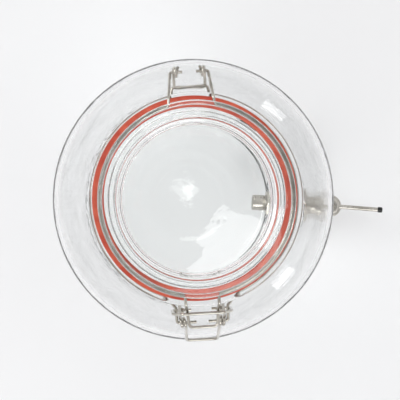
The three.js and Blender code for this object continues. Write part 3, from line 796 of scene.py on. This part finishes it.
def makeKnob():
    radius = tap["knobRadius"]
    rodStart = tap["stemRadius"] + tap["rodRoot"]
    webBase = stemTop + tap["fit"]
    webTop = webBase + tap["webThickness"]
    head = 2 * tap["screwRadius"]
    bm = turnedBody(roundBends([
        (0, knobBase, 0), (radius, knobBase, 0.6), (radius, knobTop, 2.4), (0, knobTop, 0),
    ]), 64)
    socket = turnedBody(rodProfile(tap["stemRadius"] + tap["fit"], knobBase - 1, webBase), 32)
    hole = turnedBody(rodProfile(tap["screwRadius"] + tap["fit"], knobBase, knobTop + 1), 32)
    sink = turnedBody(rodProfile(head + tap["fit"], webTop, knobTop + 1), 32)
    rodHoleRadius = tap["rodRadius"] + tap["fit"]
    rodHole = turnedBody(rodProfile(rodHoleRadius, rodStart - tap["fit"], radius + 2), 32, "X")
    placed(rodHole, Matrix.Translation((0, 0, leverLine * mm)))
    bm = shaped(bm, "DIFFERENCE", [socket, hole, sink, rodHole])
    tapPiece("tapKnob", bm, handleFrame, turnedSteel, "tap_handle", ["tap_knob"])
    headBase = webTop + tap["fit"]
    point = stemTop - tap["screwLength"]
    screw = turnedBody(roundBends([
        (0, point, 0), (tap["screwRadius"], point, 0.4), (tap["screwRadius"], headBase, 0),
        (head, headBase, 0.2), (head, headBase + tap["headEdge"], 0.8), (0, headBase + tap["headCrown"], 0),
    ]), 32)
    slot = bmesh.new()
    bmesh.ops.create_cube(slot, size=mm)
    bmesh.ops.scale(slot, vec=tap["slotSize"], verts=slot.verts)
    placed(slot, Matrix.Translation((0, 0, (headBase + tap["slotRise"]) * mm)))
    screw = shaped(screw, "DIFFERENCE", [slot])
    tapPiece("knobScrew", screw, handleFrame, turnedSteel, "tap_handle", ["knob_screw"])
    return rodStart


def makeLeverRod(rodStart):
    end = tap["leverLength"]
    tipStart = end - tap["tipLength"]
    atLine = handleFrame @ Matrix.Translation((0, 0, leverLine * mm))
    rodEnd = tipStart - tap["fit"]
    tang = tap["tangRadius"]
    tangEnd = end - tap["tangShort"]
    rod = turnedBody(roundBends([
        (0, rodStart, 0), (tap["rodRadius"], rodStart, 0.4), (tap["rodRadius"], rodEnd, 0.3),
        (tang, rodEnd, 0), (tang, tangEnd, 0.3), (0, tangEnd, 0),
    ]), 32, "X")
    tapPiece("leverRod", rod, atLine, turnedSteel, "tap_handle", ["lever_rod"])
    socket = tap["socketRadius"]
    socketEnd = end - tap["socketShort"]
    tip = turnedBody(roundBends([
        (0, socketEnd, 0), (socket, socketEnd, 0), (socket, tipStart, 0.2), (tap["tipRadius"], tipStart, 0.5),
        (tap["tipRadius"], end, 1.3), (0, end, 0),
    ]), 32, "X")
    tapPiece("leverTip", tip, atLine, dippedBlack, "tap_handle", ["lever_tip"])


makeTapBody()
makeShankFittings()
makeNut()
makeBonnet()
makePlug()
makeLeverRod(makeKnob())
print("tap made")

# Lengths here are in metres. The sky is a pale tent, greyer near the floor, most of all towards +X, and
# greyer again straight overhead, where level glass seen from above mirrors it.
zenith = ((0.9, "#f7f7f7"), (0.975, "#8f8f90"))
studio = {
    "height": 1.45, "offset": (-0.040, 0.0), "aim": (0.0022, -0.0008), "roll": math.radians(3.2),
    "lens": 174, "sensor": 36, "nearClip": 0.05, "farClip": 20, "sky": 1.02,
    "floor": "#ededee", "floorHalf": 3, "floorDrop": 0.0003, "fibreScale": 900, "fibreDepth": 0.0001,
    "litRise": ((0.0, "#cacacc"), (0.22, "#d4d4d5"), (0.42, "#f2f2f2"), *zenith),
    "darkRise": ((0.0, "#a0a0a2"), (0.22, "#b4b4b5"), (0.42, "#e2e2e2"), *zenith),
    "side": ((0.38, "#000000"), (0.6, "#ffffff")),
}
lamps = {
    "softboxLeft": {"at": (-1.3, 0.6, 1.5), "aim": (0, 0, 0.15), "size": (0.8, 0.6), "watts": 9},
    "softboxFront": {"at": (0.4, -1.5, 1.3), "aim": (0, 0, 0.1), "size": (1.2, 0.6), "watts": 9},
    "softboxAbove": {
        "at": (0.024, 0.07, 2.28), "aim": (-0.013, 0.03, 0.28), "size": (0.11, 0.085), "watts": 0.09,
    },
    "stripRearRight": {"at": (1.2, 1.15, 0.4), "aim": (0.1, 0.1, 0.2), "size": (0.35, 0.2), "watts": 0.7},
    "stripFrontRight": {"at": (1.2, -1.15, 0.4), "aim": (0.1, -0.1, 0.2), "size": (0.35, 0.2), "watts": 0.7},
}


# A seamless sheet of matt paper.
def makeFloor():
    bm = bmesh.new()
    bmesh.ops.create_grid(bm, x_segments=1, y_segments=1, size=studio["floorHalf"])
    bmesh.ops.translate(bm, verts=bm.verts, vec=(0, 0, -studio["floorDrop"]))
    floor = makeObject("studioFloor", bm)
    material, tree = newMaterial("paperSweep")
    place = addNode(tree, "ShaderNodeTexCoord")
    fibre = addNode(tree, "ShaderNodeTexNoise", {"Scale": studio["fibreScale"], "Detail": 2.0},
                    {"Vector": place.outputs["Object"]})
    bump = addNode(tree, "ShaderNodeBump", {"Strength": 0.1, "Distance": studio["fibreDepth"]},
                   {"Height": fibre.outputs["Fac"]})
    shader = addNode(tree, "ShaderNodeBsdfPrincipled", {
        "Base Color": linear(studio["floor"]), "Roughness": 0.85,
    }, {"Normal": bump.outputs["Normal"]})
    addNode(tree, "ShaderNodeOutputMaterial", None, {"Surface": shader.outputs["BSDF"]})
    floor.data.materials.append(material)


def makeSky():
    world = bpy.data.worlds.new("studioSky")
    bpy.context.scene.world = world
    world.use_nodes = True
    tree = world.node_tree
    tree.nodes.clear()
    direction = addNode(tree, "ShaderNodeTexCoord")
    parts = addNode(tree, "ShaderNodeSeparateXYZ", None, {"Vector": direction.outputs["Generated"]})
    across = addNode(tree, "ShaderNodeMapRange", {"From Min": -1.0, "From Max": 1.0},
                     {"Value": parts.outputs["X"]})
    lit = rampNode(tree, studio["litRise"], parts.outputs["Z"])
    dark = rampNode(tree, studio["darkRise"], parts.outputs["Z"])
    side = rampNode(tree, studio["side"], across.outputs["Result"])
    both = addNode(tree, "ShaderNodeMix", {"data_type": "RGBA"}, {0: side.outputs["Color"]})
    tree.links.new(lit.outputs["Color"], both.inputs[6])
    tree.links.new(dark.outputs["Color"], both.inputs[7])
    light = addNode(tree, "ShaderNodeBackground", {"Strength": studio["sky"]}, {"Color": both.outputs[2]})
    addNode(tree, "ShaderNodeOutputWorld", None, {"Surface": light.outputs["Background"]})


def makeLamp(name, lamp):
    data = bpy.data.lights.new(name, "AREA")
    data.shape = "RECTANGLE"
    data.size, data.size_y = lamp["size"]
    data.energy = lamp["watts"]
    made = bpy.data.objects.new(name, data)
    bpy.context.scene.collection.objects.link(made)
    made.location = lamp["at"]
    made.rotation_mode = "QUATERNION"
    made.rotation_quaternion = (Vector(lamp["aim"]) - Vector(lamp["at"])).to_track_quat("-Z", "Y")


# The camera hangs over the lid and looks down at it, with its up side turned by the roll.
def makeCamera():
    lidTop = lidHigh.z * mm
    camera = bpy.data.objects.new("studioCamera", bpy.data.cameras.new("studioCamera"))
    bpy.context.scene.collection.objects.link(camera)
    camera.data.lens = studio["lens"]
    camera.data.sensor_width = studio["sensor"]
    camera.data.clip_start = studio["nearClip"]
    camera.data.clip_end = studio["farClip"]
    place = Vector((*studio["offset"], lidTop + studio["height"]))
    back = (place - Vector((*studio["aim"], lidTop))).normalized()
    up = Vector((math.sin(studio["roll"]), math.cos(studio["roll"]), 0))
    right = up.cross(back).normalized()
    turn = Matrix((right, back.cross(right), back)).transposed()
    camera.matrix_world = Matrix.Translation(place) @ turn.to_4x4()
    bpy.context.scene.camera = camera
    bpy.context.scene.view_settings.view_transform = "Standard"


makeFloor()
makeSky()
for name, lamp in lamps.items():
    makeLamp(name, lamp)
makeCamera()
print("studio made")
